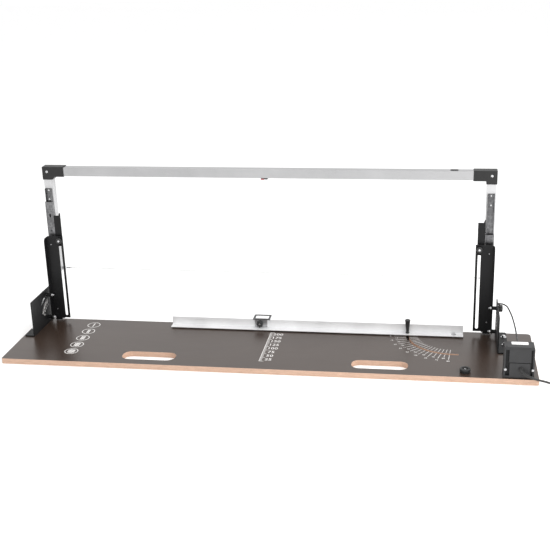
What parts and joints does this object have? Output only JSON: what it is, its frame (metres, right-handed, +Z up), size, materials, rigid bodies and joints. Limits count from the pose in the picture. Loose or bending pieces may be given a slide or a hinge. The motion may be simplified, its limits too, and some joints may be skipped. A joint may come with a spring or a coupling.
{
  "type": "hot wire foam cutter",
  "caption": "Bench hot wire foam cutter: long plywood base with scale, tilting towers on telescopic slides, aluminium bow with wire, swinging fence with length stop and a supply.",
  "frame": {"origin": "on the surface it stands on, under the middle of the machine without its mains cord", "axes": "+X to the machine's right along the board, +Y to the back where the bow stands, +Z up"},
  "size_m": [1.6468, 0.3512, 0.4813],
  "materials": {
    "film_plywood": "film-faced birch plywood",
    "black_steel": "black powder coat",
    "aluminium": "satin",
    "zinc_steel": "bright zinc plate",
    "black_plastic": "fine grain",
    "red_plastic": "gloss",
    "rubber": "satin",
    "wire": "oxidised resistance wire",
    "core_steel": "laminated steel"
  },
  "bodies": {
    "base": {"base_board": "film_plywood", "left_bracket": "black_steel", "right_bracket": "black_steel", "left_foot_bolt_front": "zinc_steel", "left_foot_bolt_rear": "zinc_steel", "right_foot_bolt_front": "zinc_steel", "right_foot_bolt_rear": "zinc_steel", "left_pivot_bolt": "zinc_steel", "right_pivot_bolt": "zinc_steel", "fence_pivot_bolt": "zinc_steel", "end_bumper": "rubber", "bumper_screw": "zinc_steel", "transformer_case": "black_plastic", "transformer_core": "core_steel", "lead_gland_case": "black_plastic", "lead_gland_bracket": "black_plastic", "low_voltage_lead": "rubber", "strain_relief": "rubber", "mains_lead": "rubber", "mains_coil": "rubber", "mains_tail": "rubber", "mains_plug": "black_plastic"},
    "towers": {"left_tower": "black_steel", "left_slide_packer": "black_steel", "left_slide_outer": "zinc_steel", "left_pivot_spacer": "black_steel", "left_lock_spacer": "black_steel", "left_lock_nut": "zinc_steel", "right_tower": "black_steel", "right_slide_packer": "black_steel", "right_slide_outer": "zinc_steel", "right_pivot_spacer": "black_steel", "right_lock_spacer": "black_steel", "right_lock_nut": "zinc_steel"},
    "bow": {"top_bar": "aluminium", "hot_wire": "wire", "bar_grommet": "rubber", "switch_housing": "black_plastic", "left_post": "aluminium", "left_slide_inner": "zinc_steel", "left_corner": "black_plastic", "left_wire_holder": "zinc_steel", "right_post": "aluminium", "right_slide_inner": "zinc_steel", "right_corner": "black_plastic", "right_wire_holder": "zinc_steel"},
    "switch_button": {"switch_button": "red_plastic"},
    "fence": {"fence": "aluminium"},
    "fence_clamp": {"fence_clamp": "black_plastic"},
    "length_stop": {"length_stop": "zinc_steel"},
    "stop_knob": {"stop_knob": "black_plastic"},
    "tilt_knob_left": {"left_tilt_knob": "black_plastic"},
    "slide_middle_left": {"left_slide_middle": "zinc_steel"},
    "depth_stop_left": {"left_depth_stop": "black_steel"},
    "depth_knob_left": {"left_depth_knob": "black_plastic"},
    "tilt_knob_right": {"right_tilt_knob": "black_plastic"},
    "slide_middle_right": {"right_slide_middle": "zinc_steel"},
    "depth_stop_right": {"right_depth_stop": "black_steel"},
    "depth_knob_right": {"right_depth_knob": "black_plastic"}
  },
  "joints": [
    {"name": "tilt", "type": "hinge", "parent": "base", "child": "towers", "pos_m": [0, 0.10825, 0.0305], "axis": [1, 0, 0], "range_deg": [0, 60]},
    {"name": "bow_slide", "type": "slide", "parent": "towers", "child": "bow", "axis": [0, 0, 1], "range_m": [-0.1495, 0.1005]},
    {"name": "switch_press", "type": "slide", "parent": "bow", "child": "switch_button", "axis": [0, 0, 1], "range_m": [0, 0.0015], "stiffness_N_per_m": 300, "springref_m": -0.001},
    {"name": "fence_swing", "type": "hinge", "parent": "base", "child": "fence", "pos_m": [0.508, 0.1007, 0.015], "axis": [0, 0, 1], "range_deg": [0, 90]},
    {"name": "fence_clamp_turn", "type": "hinge", "parent": "fence", "child": "fence_clamp", "pos_m": [0.3794, 0.1007, 0.015], "axis": [0, 0, 1], "continuous": true},
    {"name": "length_stop_slide", "type": "slide", "parent": "fence", "child": "length_stop", "axis": [1, 0, 0], "range_m": [-0.22, 0.36]},
    {"name": "stop_knob_turn", "type": "hinge", "parent": "length_stop", "child": "stop_knob", "pos_m": [-0.045, 0.1109, 0.0305], "axis": [0, 1, 0], "continuous": true},
    {"name": "tilt_knob_turn_left", "type": "hinge", "parent": "towers", "child": "tilt_knob_left", "pos_m": [-0.6884, 0.10825, 0.1], "axis": [1, 0, 0], "continuous": true},
    {"name": "slide_middle_left", "type": "slide", "parent": "towers", "child": "slide_middle_left", "axis": [0, 0, 1], "range_m": [-0.1112, 0.07482]},
    {"name": "depth_stop_slide_left", "type": "slide", "parent": "towers", "child": "depth_stop_left", "axis": [0, 0, 1], "range_m": [-0.215, 0]},
    {"name": "depth_knob_turn_left", "type": "hinge", "parent": "depth_stop_left", "child": "depth_knob_left", "pos_m": [-0.6333, 0.116, 0.267], "axis": [0, 1, 0], "continuous": true},
    {"name": "tilt_knob_turn_right", "type": "hinge", "parent": "towers", "child": "tilt_knob_right", "pos_m": [0.6255, 0.10825, 0.1], "axis": [1, 0, 0], "continuous": true},
    {"name": "slide_middle_right", "type": "slide", "parent": "towers", "child": "slide_middle_right", "axis": [0, 0, 1], "range_m": [-0.0362, 0.0244]},
    {"name": "depth_stop_slide_right", "type": "slide", "parent": "towers", "child": "depth_stop_right", "axis": [0, 0, 1], "range_m": [-0.215, 0]},
    {"name": "depth_knob_turn_right", "type": "hinge", "parent": "depth_stop_right", "child": "depth_knob_right", "pos_m": [0.5704, 0.116, 0.267], "axis": [0, 1, 0], "continuous": true}
  ],
  "couplings": [
    {"joint": "slide_middle_left", "follows": "bow_slide", "ratio": 0.74247},
    {"joint": "slide_middle_right", "follows": "bow_slide", "ratio": 0.2408}
  ]
}
